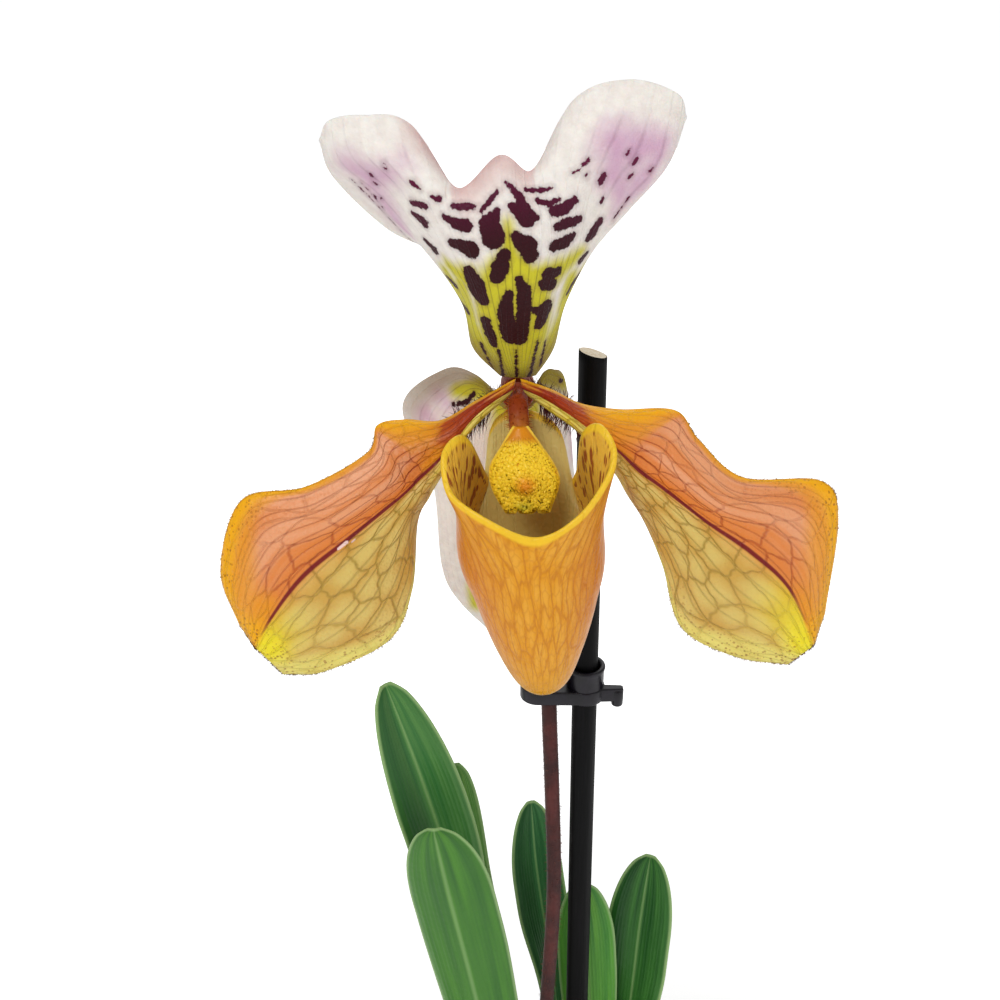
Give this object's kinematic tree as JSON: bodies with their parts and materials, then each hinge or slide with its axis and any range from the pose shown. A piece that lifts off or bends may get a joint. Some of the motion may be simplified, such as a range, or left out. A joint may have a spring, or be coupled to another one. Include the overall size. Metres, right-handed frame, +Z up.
{
  "type": "paphiopedilum orchid",
  "caption": "Slipper orchid in a plain pot: a pouched flower with a spotted hooded sepal, on a staked stem above strap leaves.",
  "frame": {"origin": "middle of the pot's flat underside", "axes": "+Z up along the stem, -Y the way the flower faces, +X to the flower's right as seen from its front"},
  "size_m": [0.1703, 0.116, 0.3945],
  "materials": {
    "pot_glaze": "satin glaze",
    "bark": "rough",
    "stained_stick": "black stain, raw cut at the top",
    "clip_plastic": "satin",
    "shoot": "living plant tissue",
    "leaf": "living leaf, satin",
    "stem": "living stem, short hairs",
    "sepal": "living sepal, soft satin",
    "petal": "living petal, waxy gloss",
    "lip": "living petal, waxy satin",
    "column": "living tissue, warty and waxy"
  },
  "bodies": {
    "root": {"pot": "pot_glaze", "potting_bark": "bark", "stick": "stained_stick", "clip": "clip_plastic", "crown_left": "shoot", "crown_right": "shoot", "leaf_left_tall": "leaf", "leaf_left_front": "leaf", "leaf_left_back": "leaf", "leaf_right_back": "leaf", "leaf_right_side": "leaf", "leaf_right_front": "leaf", "leaf_low_left_front": "leaf", "leaf_low_left_back": "leaf", "leaf_low_right_front": "leaf", "leaf_low_right_back": "leaf", "scape": "stem", "ovary": "stem", "bract": "leaf", "column": "column", "dorsal_sepal": "sepal", "synsepal": "sepal", "petal_left": "petal", "petal_right": "petal", "lip": "lip", "staminode": "column"}
  },
  "joints": []
}
